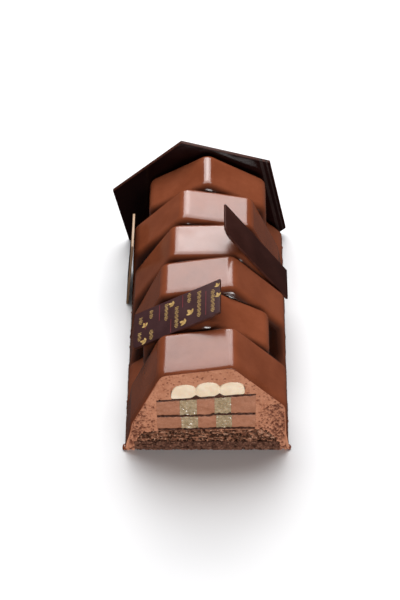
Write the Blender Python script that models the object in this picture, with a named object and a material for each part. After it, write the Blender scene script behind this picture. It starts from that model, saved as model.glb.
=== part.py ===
"""Yule log cake: a glazed mousse log cut across one end, with chocolate decorations.

The log lies along Y and its cut end faces -Y.  It is made of six slabs, each a
prism with a six-sided outline that is turned a little differently from the
next.  Sizes are in millimetres and become metres when a mesh is made.
"""
import math

import bpy
import bmesh

MM = 0.001
GAP = 0.3                       # free space kept between touching pieces
MERGE_DISTANCE = 0.00001        # metres
SHARP_ANGLE = 35.0              # degrees; edges above it stay sharp
BELOW_TABLE = -5.0              # cutting tools reach down to here
MIN_RIM_RADIUS = 0.8

# Slabs along the log
SLAB_COUNT = 6
FIRST_SLAB_LENGTH = 26.1        # the slab that the cut goes through
SLAB_PITCH = 24.33
SLAB_OVERLAP = 0.3
SLAB_TURNS = (9.5, None, 9.5, 1.0, -10.5, None)    # degrees; None has a corner on top
SLAB_SHIFTS = (1.0, 0.0, 1.0, 1.0, -0.5, 0.0)
RIM_RADIUS = 2.8                # rounding round each end of a slab
RIM_STEPS = 3

# Outline of a slab
CENTRE_HEIGHT = 27.4
TOP_RADIUS = 36.6               # centre to the two corners of the top face
TOP_HALF_ANGLE = 29.0
SIDE_RADIUS = 38.5              # centre to the side corners
PEAK_RADIUS = 36.4              # centre to the top corner of a peaked slab
PEAK_HALF_WIDTH = 30.6
FOOT_HALF_WIDTH = 40.5
LEDGE_HEIGHT = 5.0              # a peaked slab spreads to its foot between these
LEDGE_SHOULDER = (38.6, 8.0)
LEDGE_TOP_HEIGHT = 17.5
CORNER_RADIUS = 3.6
CORNER_STEPS = 3

# Glaze and mousse
GLAZE_THICKNESS = 1.3
GLAZE_LIFT = 0.4                # the glaze stops just above the table
CORE_OUTLINE = ((38.0, 0.0), (37.8, 5.0), (36.2, 7.6), (29.0, 17.0), (24.9, 42.0),
                (17.0, 50.0), (12.0, 54.0))
CORE_END_WALL = 4.0

# Fillings, which run the length of the log
FILLING_END_WALL = 6.0
SHEET_THICKNESS = 0.9
SHEET_HALF_LENGTH = 23.4
SHEET_HEIGHTS = (39.1, 26.2, 16.3)      # middle of the top, centre and bottom sheets
SHEET_SLOPES = (0.104, 0.030, 0.028)
SHEET_STEP = (2.8, 0.6)                 # the centre sheet rises here by this much
SHEET_STEP_HALF_WIDTH = 0.6
ROPE_CENTRES = (-10.2, 0.9, 12.2)       # piped cream
ROPE_HALF_WIDTH = 6.3
ROPE_TOP_RISE = (10.3, 10.9, 9.8)       # above the sheet below
ROPE_MIDDLE_RISE = 5.2
ROPE_VALLEY_RISE = 7.8                  # where two ropes touch
ROPE_ROUNDNESS = 0.8
ROPE_STEPS = 8
ROPE_FOOT_INSET = 0.6
ROPE_BOTTOM_CLEARANCE = 1.05            # share of a ridge's height kept clear of the cream
RIDGE_HEIGHT = 1.9                      # the top sheet's ridges between the ropes
RIDGE_HALF_WIDTH = 2.6
STRIP_EDGES_UPPER = (-23.0, -12.6, -4.4, 4.1, 12.0, 22.9)
STRIP_EDGES_LOWER = (-22.4, -12.0, -3.9, 4.8, 12.4, 22.9)
SPONGE_OUTLINE = ((-33.6, 6.9), (33.6, 6.9), (33.6, 8.6), (30.6, 13.0), (26.5, 15.6),
                  (-23.0, 14.6), (-30.6, 13.2), (-33.6, 8.6))
BASE_OUTLINE = ((-35.3, 0.0), (35.9, 0.0), (35.4, 6.3), (-34.9, 6.3))

# Chocolate decorations
PLATE_SIDE = 49.4               # six-sided plate that stands behind the log
PLATE_TURN = 40.95
PLATE_CENTRE = (-4.2, 20.9)
PLATE_DISTANCE = 150.0
PLATE_YAW = 2.9
PLATE_THICKNESS = 2.0
PLAQUE_THICKNESS = 1.2
RIGHT_PLAQUE_SPAN = (76.2, 96.6)        # along the log
RIGHT_PLAQUE_REACH = (-17.6, 39.0)      # down the side face, from its top corner
RIGHT_PLAQUE_CORNER_RADIUS = 5.0
PRINTED_PLAQUE_SPAN = (26.7, 49.8)
PRINTED_PLAQUE_REACH = (-8.8, 40.4)
PRINTED_PLAQUE_CHIP = 3.0
PRINTED_PLAQUE_CUT = (2.0, 1.2)         # the slanting cut at its lower end
LEFT_PLAQUE_SPAN = (99.6, 124.2)
LEFT_PLAQUE_HEIGHT = 42.6
LEFT_PLAQUE_LEAN = 6.0

# Colour, roughness and metallic value of each piece
FINISHES = {
    "glaze": ((0.230, 0.072, 0.032), 0.12, 0.0),
    "mousse": ((0.470, 0.225, 0.140), 0.70, 0.0),
    "cream": ((0.860, 0.740, 0.590), 0.55, 0.0),
    "chocolate_sheet": ((0.060, 0.022, 0.014), 0.45, 0.0),
    "ganache": ((0.460, 0.210, 0.130), 0.55, 0.0),
    "pear_gel": ((0.400, 0.320, 0.200), 0.30, 0.0),
    "sponge": ((0.150, 0.060, 0.040), 0.90, 0.0),
    "base": ((0.120, 0.055, 0.040), 0.85, 0.0),
    "dark_chocolate": ((0.045, 0.020, 0.018), 0.30, 0.0),
    "printed_chocolate": ((0.080, 0.030, 0.035), 0.35, 0.0),
}


def clear_scene():
    for obj in list(bpy.data.objects):
        bpy.data.objects.remove(obj, do_unlink=True)


def finish(obj, look):
    colour, roughness, metallic = FINISHES[look]
    material = bpy.data.materials.get(look) or bpy.data.materials.new(look)
    material.use_nodes = True
    shader = material.node_tree.nodes["Principled BSDF"]
    shader.inputs["Base Color"].default_value = (*colour, 1.0)
    shader.inputs["Roughness"].default_value = roughness
    shader.inputs["Metallic"].default_value = metallic
    obj.data.materials.clear()
    obj.data.materials.append(material)
    return obj


# ---------------------------------------------------------------- outlines

def polar(radius, degrees, shift=0.0):
    angle = math.radians(degrees)
    return (shift + radius * math.cos(angle), CENTRE_HEIGHT + radius * math.sin(angle))


def inset_chain(points, distance, floor):
    """Move an open chain, which runs from the left foot over the top to the
    right foot, towards its inside, and end it at the height of the floor."""
    edges = []
    for (x0, z0), (x1, z1) in zip(points, points[1:]):
        length = math.hypot(x1 - x0, z1 - z0)
        normal = ((z1 - z0) / length, -(x1 - x0) / length)
        edges.append(((x0 + normal[0] * distance, z0 + normal[1] * distance),
                      ((x1 - x0) / length, (z1 - z0) / length)))
    moved = []
    for (p, d), (q, e) in zip(edges, edges[1:]):
        turn = d[0] * e[1] - d[1] * e[0]
        if abs(turn) < 1e-6:
            moved.append(q)
            continue
        along = ((q[0] - p[0]) * e[1] - (q[1] - p[1]) * e[0]) / turn
        moved.append((p[0] + d[0] * along, p[1] + d[1] * along))
    ends = []
    for p, d in (edges[0], edges[-1]):
        along = (floor - p[1]) / d[1]
        ends.append((p[0] + d[0] * along, floor))
    return [ends[0]] + moved + [ends[1]]


def round_corners(points, radius, steps):
    """Replace each inner corner of an open chain by an arc."""
    result = [points[0]]
    for before, corner, after in zip(points, points[1:], points[2:]):
        a = (before[0] - corner[0], before[1] - corner[1])
        b = (after[0] - corner[0], after[1] - corner[1])
        length_a, length_b = math.hypot(*a), math.hypot(*b)
        a = (a[0] / length_a, a[1] / length_a)
        b = (b[0] / length_b, b[1] / length_b)
        half = math.acos(max(-1.0, min(1.0, a[0] * b[0] + a[1] * b[1]))) / 2
        reach = min(radius / math.tan(half), 0.45 * length_a, 0.45 * length_b)
        middle = (a[0] + b[0], a[1] + b[1])
        size = math.hypot(*middle)
        depth = reach / math.cos(half)
        centre = (corner[0] + middle[0] / size * depth, corner[1] + middle[1] / size * depth)
        start = (corner[0] + a[0] * reach, corner[1] + a[1] * reach)
        end = (corner[0] + b[0] * reach, corner[1] + b[1] * reach)
        first = math.atan2(start[1] - centre[1], start[0] - centre[0])
        last = math.atan2(end[1] - centre[1], end[0] - centre[0])
        sweep = (last - first + math.pi) % (2 * math.pi) - math.pi
        arc = math.hypot(start[0] - centre[0], start[1] - centre[1])
        for step in range(steps + 1):
            angle = first + sweep * step / steps
            result.append((centre[0] + arc * math.cos(angle), centre[1] + arc * math.sin(angle)))
    result.append(points[-1])
    return result


def slab_corners(index):
    """Corners of a slab, from its left foot over the top to its right foot."""
    turn, shift = SLAB_TURNS[index], SLAB_SHIFTS[index]
    foot = (FOOT_HALF_WIDTH, 0.0)
    if turn is None:
        side_height = CENTRE_HEIGHT + PEAK_RADIUS / 2
        right = [(shift + PEAK_HALF_WIDTH, side_height),
                 (PEAK_HALF_WIDTH + 0.7, LEDGE_TOP_HEIGHT),
                 LEDGE_SHOULDER, (FOOT_HALF_WIDTH - 0.2, LEDGE_HEIGHT), foot]
        left = [(2 * shift - x, z) if z > LEDGE_TOP_HEIGHT else (-x, z) for x, z in right]
        return left[::-1] + [polar(PEAK_RADIUS, 90.0, shift)] + right
    return [(-FOOT_HALF_WIDTH, 0.0),
            polar(SIDE_RADIUS, 180.0 + turn, shift),
            polar(TOP_RADIUS, 90.0 + TOP_HALF_ANGLE + turn, shift),
            polar(TOP_RADIUS, 90.0 - TOP_HALF_ANGLE + turn, shift),
            polar(SIDE_RADIUS, turn, shift),
            foot]


def slab_ends(index):
    if index == 0:
        return 0.0, FIRST_SLAB_LENGTH
    start = FIRST_SLAB_LENGTH + (index - 1) * SLAB_PITCH
    return start, start + SLAB_PITCH


# ------------------------------------------------------------------ solids

def mesh_object(name, mesh):
    bm = bmesh.new()
    bm.from_mesh(mesh)
    bmesh.ops.recalc_face_normals(bm, faces=bm.faces[:])
    bm.to_mesh(mesh)
    bm.free()
    obj = bpy.data.objects.new(name, mesh)
    bpy.context.collection.objects.link(obj)
    return obj


def loft(name, rings):
    """Closed solid through rings of (x, y, z) points with equal counts."""
    mesh = bpy.data.meshes.new(name)
    count = len(rings[0])
    points = [(x * MM, y * MM, z * MM) for ring in rings for x, y, z in ring]
    faces = [list(range(count)), [len(points) - count + i for i in range(count)][::-1]]
    for row in range(len(rings) - 1):
        for i in range(count):
            j = (i + 1) % count
            low, high = row * count, (row + 1) * count
            faces.append([low + i, high + i, high + j, low + j])
    mesh.from_pydata(points, [], faces)
    return mesh_object(name, mesh)


def prism(name, outline, start, end):
    return loft(name, [[(x, y, z) for x, z in outline] for y in (start, end)])


def slab(index, inset, floor, front=None):
    """One slab with rounded rims, its walls moved inwards by the inset."""
    start, end = slab_ends(index)
    corners = round_corners(slab_corners(index), CORNER_RADIUS, CORNER_STEPS)
    lap = SLAB_OVERLAP if inset == 0 else -inset
    start, end = start - lap, end + lap
    radius = max(RIM_RADIUS - inset, MIN_RIM_RADIUS)
    turns = [90.0 * step / RIM_STEPS for step in range(RIM_STEPS + 1)]
    stations = [(start + radius * (1 - math.cos(math.radians(a))),
                 radius * (1 - math.sin(math.radians(a)))) for a in turns]
    if front is not None:
        stations = [(front, 0.0)]
    stations += [(end - radius * (1 - math.cos(math.radians(a))),
                  radius * (1 - math.sin(math.radians(a)))) for a in turns[::-1]]
    rings = []
    for y, depth in stations:
        plain = inset_chain(corners, inset, floor)
        deep = inset_chain(corners, inset + depth, floor)
        ring = []
        for (x0, z0), (x1, z1) in zip(plain, deep):
            share = min(1.0, max(0.0, (z0 - LEDGE_HEIGHT) / (LEDGE_TOP_HEIGHT - LEDGE_HEIGHT)))
            ring.append((x0 + (x1 - x0) * share, y, z0 + (z1 - z0) * share))
        rings.append(ring)
    return loft(f"slab_{index}", rings)


def combine(name, base, tools, operation):
    """Apply exact booleans, then remove the tools."""
    for tool in tools:
        modifier = base.modifiers.new("combine", "BOOLEAN")
        modifier.operation = operation
        modifier.solver = "EXACT"
        modifier.object = tool
    graph = bpy.context.evaluated_depsgraph_get()
    mesh = bpy.data.meshes.new_from_object(base.evaluated_get(graph))
    for obj in [base] + list(tools):
        bpy.data.objects.remove(obj, do_unlink=True)
    bm = bmesh.new()
    bm.from_mesh(mesh)
    bmesh.ops.remove_doubles(bm, verts=bm.verts[:], dist=MERGE_DISTANCE)
    bmesh.ops.dissolve_degenerate(bm, edges=bm.edges[:], dist=MERGE_DISTANCE)
    bm.to_mesh(mesh)
    bm.free()
    mesh.name = name
    return mesh_object(name, mesh)


def core(grow, start, end, floor):
    """Plain prism that joins the slabs inside."""
    right = [(x + grow, z + (grow if i == len(CORE_OUTLINE) - 1 else 0.0))
             for i, (x, z) in enumerate(CORE_OUTLINE)]
    right[0] = (right[0][0], floor)
    outline = right + [(-x, z) for x, z in right[::-1]]
    return prism("core", outline, start, end)


# -------------------------------------------------------------- main pieces

def log_end():
    return slab_ends(SLAB_COUNT - 1)[1]


def filling_end():
    return log_end() - FILLING_END_WALL


def make_glaze():
    slabs = [slab(i, 0.0, GLAZE_LIFT, 0.0 if i == 0 else None) for i in range(SLAB_COUNT)]
    shell = combine("glaze", slabs[0], slabs[1:], "UNION")
    hollow = [slab(i, GLAZE_THICKNESS, BELOW_TABLE, BELOW_TABLE if i == 0 else None)
              for i in range(SLAB_COUNT)]
    hollow.append(core(GAP, BELOW_TABLE, log_end() - CORE_END_WALL + GAP, BELOW_TABLE))
    return finish(combine("glaze", shell, hollow, "DIFFERENCE"), "glaze")


def make_mousse():
    inset = GLAZE_THICKNESS + GAP
    slabs = [slab(i, inset, 0.0, 0.0 if i == 0 else None) for i in range(SLAB_COUNT)]
    slabs.append(core(0.0, 0.5, log_end() - CORE_END_WALL, 0.0))
    body = combine("mousse", slabs[0], slabs[1:], "UNION")
    start, end = BELOW_TABLE, filling_end() + GAP
    tunnels = [prism("tunnel", grow(outline, GAP), start, end)
               for outline in (cream_outline(), stack_outline(), SPONGE_OUTLINE)]
    base = grow(BASE_OUTLINE, GAP)
    opened = [(x, z if z > GAP else BELOW_TABLE) for x, z in base]
    tunnels.append(prism("tunnel", opened, start, end))
    return finish(combine("mousse", body, tunnels, "DIFFERENCE"), "mousse")


def grow(outline, distance):
    """Move every edge of a closed outline outwards."""
    area = sum(x0 * z1 - x1 * z0 for (x0, z0), (x1, z1) in zip(outline, outline[1:] + outline[:1]))
    side = 1.0 if area > 0 else -1.0
    edges = []
    for (x0, z0), (x1, z1) in zip(outline, outline[1:] + outline[:1]):
        length = math.hypot(x1 - x0, z1 - z0)
        direction = ((x1 - x0) / length, (z1 - z0) / length)
        offset = (direction[1] * distance * side, -direction[0] * distance * side)
        edges.append(((x0 + offset[0], z0 + offset[1]), direction))
    moved = []
    for (p, d), (q, e) in zip(edges[-1:] + edges[:-1], edges):
        turn = d[0] * e[1] - d[1] * e[0]
        if abs(turn) < 1e-6:
            moved.append(q)
            continue
        along = ((q[0] - p[0]) * e[1] - (q[1] - p[1]) * e[0]) / turn
        moved.append((p[0] + d[0] * along, p[1] + d[1] * along))
    return moved


# ---------------------------------------------------------------- fillings

def sheet_middle(sheet, x):
    height = SHEET_HEIGHTS[sheet] + SHEET_SLOPES[sheet] * x
    if sheet == 1:
        along = (x - SHEET_STEP[0]) / (2 * SHEET_STEP_HALF_WIDTH) + 0.5
        height += SHEET_STEP[1] * min(1.0, max(0.0, along))
    return height


def ridge(x):
    """Height of the top sheet's ridges, which fill the grooves under the cream."""
    valleys = [(a + b) / 2 for a, b in zip(ROPE_CENTRES, ROPE_CENTRES[1:])]
    nearest = min(abs(x - valley) for valley in valleys)
    return RIDGE_HEIGHT * max(0.0, 1.0 - nearest / RIDGE_HALF_WIDTH)


def sheet_stations(sheet):
    stations = [-SHEET_HALF_LENGTH, SHEET_HALF_LENGTH]
    if sheet == 1:
        stations += [SHEET_STEP[0] + side * SHEET_STEP_HALF_WIDTH for side in (-1, 1)]
    if sheet == 0:
        for a, b in zip(ROPE_CENTRES, ROPE_CENTRES[1:]):
            stations += [(a + b) / 2 + offset for offset in (-RIDGE_HALF_WIDTH, 0, RIDGE_HALF_WIDTH)]
    return sorted(stations)


def sheet_outline(sheet):
    half = SHEET_THICKNESS / 2
    stations = sheet_stations(sheet)
    rise = ridge if sheet == 0 else (lambda x: 0.0)
    top = [(x, sheet_middle(sheet, x) + half + rise(x)) for x in stations]
    bottom = [(x, sheet_middle(sheet, x) - half) for x in stations]
    return bottom + top[::-1]


def stack_outline():
    """Outline round the sheets and the strips between them."""
    half = SHEET_THICKNESS / 2
    bottom = [(x, sheet_middle(2, x) - half) for x in (-SHEET_HALF_LENGTH, SHEET_HALF_LENGTH)]
    top = [(x, sheet_middle(0, x) + half + ridge(x)) for x in sheet_stations(0)]
    return bottom + top[::-1]


def cream_outline():
    """Three ropes of cream side by side on the top sheet."""
    left = ROPE_CENTRES[0] - ROPE_HALF_WIDTH
    right = ROPE_CENTRES[-1] + ROPE_HALF_WIDTH
    floor = SHEET_THICKNESS / 2 + GAP
    top = []
    for centre, rise in zip(ROPE_CENTRES, ROPE_TOP_RISE):
        for step in range(ROPE_STEPS + 1):
            angle = math.pi * (1 - step / ROPE_STEPS)
            x = centre + ROPE_HALF_WIDTH * math.cos(angle)
            lift = ROPE_MIDDLE_RISE + (rise - ROPE_MIDDLE_RISE) * math.sin(angle) ** ROPE_ROUNDNESS
            top.append((x, rise, lift))
    valleys = [(a + b) / 2 for a, b in zip(ROPE_CENTRES, ROPE_CENTRES[1:])]
    chain = []
    for x, rise, lift in top:
        rope = ROPE_TOP_RISE.index(rise)
        if rope > 0 and x < valleys[rope - 1] or rope < len(valleys) and x > valleys[rope]:
            continue
        chain.append((x, sheet_middle(0, x) + lift))
    for valley in valleys:
        chain.append((valley, sheet_middle(0, valley) + ROPE_VALLEY_RISE))
    chain.sort()
    stations = [x for x in sheet_stations(0) if left < x < right]
    under = [left + ROPE_FOOT_INSET] + stations + [right - ROPE_FOOT_INSET]
    bottom = [(x, sheet_middle(0, x) + floor + ridge(x) * ROPE_BOTTOM_CLEARANCE) for x in under]
    return bottom + chain[::-1]


def make_cream():
    return finish(prism("cream_ropes", cream_outline(), 0.0, filling_end()), "cream")


def make_sheets():
    for sheet, place in enumerate(("top", "centre", "bottom")):
        obj = prism(f"chocolate_sheet_{place}", sheet_outline(sheet), 0.0, filling_end())
        finish(obj, "chocolate_sheet")


def make_strips():
    """Strips of ganache and pear gel in turn, in two layers between the sheets."""
    half = SHEET_THICKNESS / 2 + GAP
    layers = (("upper", STRIP_EDGES_UPPER, 0, 1), ("lower", STRIP_EDGES_LOWER, 1, 2))
    for layer, edges, above, below in layers:
        for number, (left, right) in enumerate(zip(edges, edges[1:])):
            stations = [left + GAP / 2, right - GAP / 2]
            stations += [x for x in sheet_stations(1) if stations[0] < x < stations[1]]
            stations.sort()
            bottom = [(x, sheet_middle(below, x) + half) for x in stations]
            top = [(x, sheet_middle(above, x) - half) for x in stations[::-1]]
            look = "pear_gel" if number % 2 else "ganache"
            name = f"{look}_{layer}_{number // 2 + 1}"
            finish(prism(name, bottom + top, 0.0, filling_end()), look)


def make_sponge_and_base():
    finish(prism("sponge", SPONGE_OUTLINE, 0.0, filling_end()), "sponge")
    finish(prism("base_layer", BASE_OUTLINE, 0.0, filling_end()), "base")


# ------------------------------------------------------------- decorations

def make_back_plate():
    """Six-sided plate on its edge behind the log, cut off level with the table."""
    turns = [math.radians(PLATE_TURN + 60.0 * i) for i in range(6)]
    corners = [(PLATE_SIDE * math.cos(a), PLATE_CENTRE[1] + PLATE_SIDE * math.sin(a)) for a in turns]
    outline = []
    for (x0, z0), (x1, z1) in zip(corners, corners[1:] + corners[:1]):
        if z0 >= 0:
            outline.append((x0, z0))
        if z0 * z1 < 0:
            share = z0 / (z0 - z1)
            outline.append((x0 + (x1 - x0) * share, 0.0))
    yaw = math.radians(PLATE_YAW)
    rings = []
    for depth in (0.0, PLATE_THICKNESS):
        rings.append([(PLATE_CENTRE[0] + x * math.cos(yaw) - depth * math.sin(yaw),
                       PLATE_DISTANCE + x * math.sin(yaw) + depth * math.cos(yaw), z)
                      for x, z in outline])
    finish(loft("back_plate", rings), "dark_chocolate")


def plaque(name, corner, direction, outline, look):
    """Thin plaque on a slab's side face.  The outline holds pairs of distance
    along the log and distance down the face from the given corner."""
    angle = math.radians(direction)
    down = (math.cos(angle), math.sin(angle))
    out = (-down[1], down[0])
    if out[1] < 0:
        out = (down[1], -down[0])
    rings = []
    for lift in (GAP, GAP + PLAQUE_THICKNESS):
        rings.append([(corner[0] + down[0] * reach + out[0] * lift, y,
                       corner[1] + down[1] * reach + out[1] * lift) for y, reach in outline])
    finish(loft(name, rings), look)


def face_direction(corner, lower):
    return math.degrees(math.atan2(lower[1] - corner[1], lower[0] - corner[0]))


def make_right_plaque():
    corners = slab_corners(3)
    top, side = corners[3], corners[4]
    (near, far), (high, low) = RIGHT_PLAQUE_SPAN, RIGHT_PLAQUE_REACH
    radius = RIGHT_PLAQUE_CORNER_RADIUS
    outline = [(far, high), (far, low), (near, low)]
    for step in range(5):
        angle = math.radians(90.0 * step / 4)
        outline.append((near + radius * (1 - math.cos(angle)), high + radius * (1 - math.sin(angle))))
    plaque("right_plaque", top, face_direction(top, side), outline, "dark_chocolate")


def make_printed_plaque():
    corners = slab_corners(1)
    top, side = corners[5], corners[4]
    (near, far), (high, low) = PRINTED_PLAQUE_SPAN, PRINTED_PLAQUE_REACH
    chip = PRINTED_PLAQUE_CHIP
    cut_along, cut_down = PRINTED_PLAQUE_CUT
    outline = [(near + chip * 0.3, high), (far, high), (far, low), (near + cut_along, low),
               (near, low - cut_down), (near, high + chip * 1.7), (near + chip * 0.3, high + chip)]
    plaque("printed_plaque", top, face_direction(top, side), outline, "printed_chocolate")


def make_left_plaque():
    """Stands on the table and leans on the side corner of the fifth slab."""
    side = slab_corners(4)[1]
    lean = math.radians(LEFT_PLAQUE_LEAN)
    near, far = LEFT_PLAQUE_SPAN
    rings = []
    for lift in (GAP, GAP + PLAQUE_THICKNESS):
        offset = lift / math.cos(lean)
        foot = side[0] - side[1] * math.tan(lean) - offset
        head = foot + LEFT_PLAQUE_HEIGHT * math.tan(lean)
        rings.append([(foot, near, 0.0), (foot, far, 0.0),
                      (head, far, LEFT_PLAQUE_HEIGHT), (head, near, LEFT_PLAQUE_HEIGHT)])
    finish(loft("left_plaque", rings), "dark_chocolate")


# -------------------------------------------------------------------- main

def centre_on_floor():
    """Parent all pieces to an empty that puts the whole over the origin."""
    pieces = list(bpy.data.objects)
    points = [v.co for obj in pieces for v in obj.data.vertices]
    middle = [(min(p[i] for p in points) + max(p[i] for p in points)) / 2 for i in (0, 1)]
    frame = bpy.data.objects.new("cake_frame", None)
    bpy.context.collection.objects.link(frame)
    frame.location = (-middle[0], -middle[1], 0.0)
    for obj in pieces:
        obj.parent = frame
        obj.data.set_sharp_from_angle(angle=math.radians(SHARP_ANGLE))
        obj.data.shade_smooth()


def main():
    clear_scene()
    make_glaze()
    make_mousse()
    make_cream()
    make_sheets()
    make_strips()
    make_sponge_and_base()
    make_back_plate()
    make_right_plaque()
    make_printed_plaque()
    make_left_plaque()
    centre_on_floor()


main()
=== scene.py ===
import math
import random

import bmesh
import bpy
import numpy as np
from mathutils import Matrix, Vector, noise


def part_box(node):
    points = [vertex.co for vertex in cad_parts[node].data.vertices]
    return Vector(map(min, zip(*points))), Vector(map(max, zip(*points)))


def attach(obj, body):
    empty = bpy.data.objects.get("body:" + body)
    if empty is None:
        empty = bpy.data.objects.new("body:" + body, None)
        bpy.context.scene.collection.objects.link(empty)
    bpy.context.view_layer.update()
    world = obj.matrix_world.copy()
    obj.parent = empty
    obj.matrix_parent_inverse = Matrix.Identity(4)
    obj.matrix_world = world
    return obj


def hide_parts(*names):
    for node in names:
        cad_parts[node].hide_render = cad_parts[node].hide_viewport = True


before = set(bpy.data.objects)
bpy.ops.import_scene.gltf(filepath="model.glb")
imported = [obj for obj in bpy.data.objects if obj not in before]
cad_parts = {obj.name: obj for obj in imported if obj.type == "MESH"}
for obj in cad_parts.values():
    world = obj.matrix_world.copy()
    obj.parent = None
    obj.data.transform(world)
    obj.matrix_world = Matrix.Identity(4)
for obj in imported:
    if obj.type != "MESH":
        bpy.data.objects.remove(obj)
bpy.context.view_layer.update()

MM = 0.001

# The log's own frame, in millimetres: x from its middle, y from its cut face,
# z from the table.  It is found from the glaze's box.
GLAZE_LOW, GLAZE_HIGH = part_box("glaze")
ORIGIN = Vector(((GLAZE_LOW[0] + GLAZE_HIGH[0]) / 2, GLAZE_LOW[1], 0.0))
LOG_LENGTH = (GLAZE_HIGH[1] - GLAZE_LOW[1]) / MM
FILLING_LENGTH = (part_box("sponge")[1][1] - GLAZE_LOW[1]) / MM

# Slabs of the log
FIRST_SLAB_LENGTH = 26.1
SLAB_PITCH = 24.33
SLAB_OVERLAP = 0.3
SLAB_TURNS = (9.5, None, 9.5, 1.0, -10.5, None)
SLAB_SHIFTS = (1.0, 0.0, 1.0, 1.0, -0.5, 0.0)
FRONT_RIM = 4.2                 # rounding of the end of a slab that faces the cut
BACK_RIM = 2.6
CUT_DROP = 1.2                  # the glaze rounds down to the cut by this much
CUT_REACH = 4.4
CENTRE_HEIGHT = 27.4
TOP_RADIUS = 36.6
TOP_HALF_ANGLE = 29.0
SIDE_RADIUS = 38.5
PEAK_RADIUS = 36.4
PEAK_HALF_WIDTH = 30.6
FOOT_HALF_WIDTH = 40.5
LEDGE_SHOULDER = (38.4, 8.6)
LEDGE_HEIGHT = 5.0
LEDGE_TOP_HEIGHT = 15.4
SHADE_DEPTH = 5.5               # painted shade: a surface this far below its neighbour gets the full shade colour
SHADE_REACH = 2.2               # and the painted shade fades by this many mm for each mm away
CORNER_RADIUS = 6.0
CORNER_STEPS = 8
GLAZE_THICKNESS = 1.5
GLAZE_LIFT = 0.4
CREASE_FILL = 0.9               # glaze pools over this much height in a crease
WALL_SLOPE = 8.0
UNEVENNESS = 0.12
LEDGE_STREAKS = 0.5             # drips in the glaze near the table

# Fillings at the cut
SHEET_THICKNESS = 0.9
SHEET_HALF_LENGTH = 23.4
SHEET_HEIGHTS = (39.1, 26.2, 16.3)
SHEET_SLOPES = (0.104, 0.030, 0.028)
SHEET_STEP = (2.8, 0.6)
ROPE_CENTRES = (-10.2, 0.9, 12.2)
ROPE_HALF_WIDTH = 6.3
ROPE_TOP_RISE = (10.3, 10.9, 9.8)
ROPE_SIDE_RISE = 2.6
RIDGE_HEIGHT = 1.9
RIDGE_HALF_WIDTH = 2.6
STRIP_EDGES_UPPER = (-23.0, -12.6, -4.4, 4.1, 12.0, 22.9)
STRIP_EDGES_LOWER = (-22.4, -12.0, -3.9, 4.8, 12.4, 22.9)
SPONGE_TOP = ((-33.6, 8.6), (-30.6, 13.2), (-23.0, 14.6), (26.5, 15.6), (30.6, 13.0), (33.6, 8.6))
SPONGE_FLOOR = 6.9
BASE_SIDES = (-35.3, 35.9)
BASE_TOP = 6.3
GAP = 0.3
PORE_SHADE_DEPTH = 0.9                 # painted shade: at this depth a pore's bottom gets the full shade colour
STACK_GAP = 0.28                # the strips reach the mousse, past the sheets' ends
JOIN = 0.13                     # a filling grows by this much towards its neighbour

PAINTED_REFLECTION_BANDS = ((1.1, 1.9), (3.4, 5.0))  # painted reflection: pale bands, by distance from the plate's edge

# Print on the plaque: rows of bars (place down the face, from, to, height of
# the bars), sprigs (place along, place down, size, turn) and thin lines
PLAQUE_THICKNESS = 1.2
PRINT_THICKNESS = 0.05
PRINT_PITCH = 0.95
PRINT_ROWS = ((-4.8, 30.0, 44.6, 2.1), (2.9, 30.6, 47.6, 2.1), (8.6, 42.6, 48.6, 2.0),
              (15.6, 29.4, 43.0, 2.1), (21.6, 37.0, 47.6, 2.0), (30.0, 28.6, 35.0, 2.2),
              (30.4, 42.6, 47.6, 2.0), (36.4, 41.4, 45.6, 2.0), (36.8, 30.6, 35.6, 2.0))
PRINT_SPRIGS = ((30.2, 10.6, 3.6, 60), (34.6, 7.2, 3.8, 35), (45.6, 17.6, 3.2, 60),
                (28.6, 33.0, 3.4, 70), (38.6, -8.0, 2.8, 20), (45.4, -7.6, 2.6, 20),
                (38.6, 33.4, 3.0, 30))
PRINT_LINES = ((-0.9, 29.6, 45.4), (12.3, 41.0, 48.8), (18.8, 27.6, 36.2), (25.6, 38.4, 48.8),
               (33.6, 36.6, 41.4))

# Camera, in the log's frame
CAMERA_PLACE = (10.67, -541.10, 669.36)
CAMERA_PITCH = 46.12
CAMERA_YAW = -1.33
CAMERA_ROLL = -1.08
CAMERA_LENS = 104.76

# Light: name, elevation, azimuth from the back, distance, size and power
LIGHTS = (
    ("rear_softbox", 41.0, 0.0, 1.60, (1.35, 0.44), 12.5),
    ("rear_core", 40.0, 1.0, 1.55, (0.50, 0.34), 2.6),
    ("high_softbox", 65.0, 0.0, 1.60, (2.00, 0.90), 28.0),
    ("front_fill", 5.0, 168.0, 1.60, (1.00, 0.24), 18.0),
)
LIGHT_TARGET = (0.0, 0.0, 0.03)      # metres
WORLD_LIGHT = (0.16, 0.16, 0.16)
WORLD_IN_GLOSS = (0.02, 0.02, 0.02)
WORLD_SEEN = (0.95, 0.95, 0.95)
FLOOR_SEEN = (0.88, 0.88, 0.89)
FLOOR_LIGHT = (0.28, 0.265, 0.26)
FLOOR_IN_GLOSS = (0.05, 0.045, 0.045)


def place(x, y, z):
    """A point of the log's frame as a point of the part."""
    return ORIGIN + Vector((x, y, z)) * MM


# --------------------------------------------------------------- materials

def link(tree, start, end):
    tree.links.new(start, end)


def node_group(name, inputs, outputs):
    """Empty shader group with the given inputs (name, kind, value) and outputs."""
    tree = bpy.data.node_groups.new(name, "ShaderNodeTree")
    for label, kind, value in inputs:
        socket = tree.interface.new_socket(label, in_out="INPUT", socket_type=kind)
        if value is not None:
            socket.default_value = value
    for label, kind in outputs:
        tree.interface.new_socket(label, in_out="OUTPUT", socket_type=kind)
    return tree, tree.nodes.new("NodeGroupInput"), tree.nodes.new("NodeGroupOutput")


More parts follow.
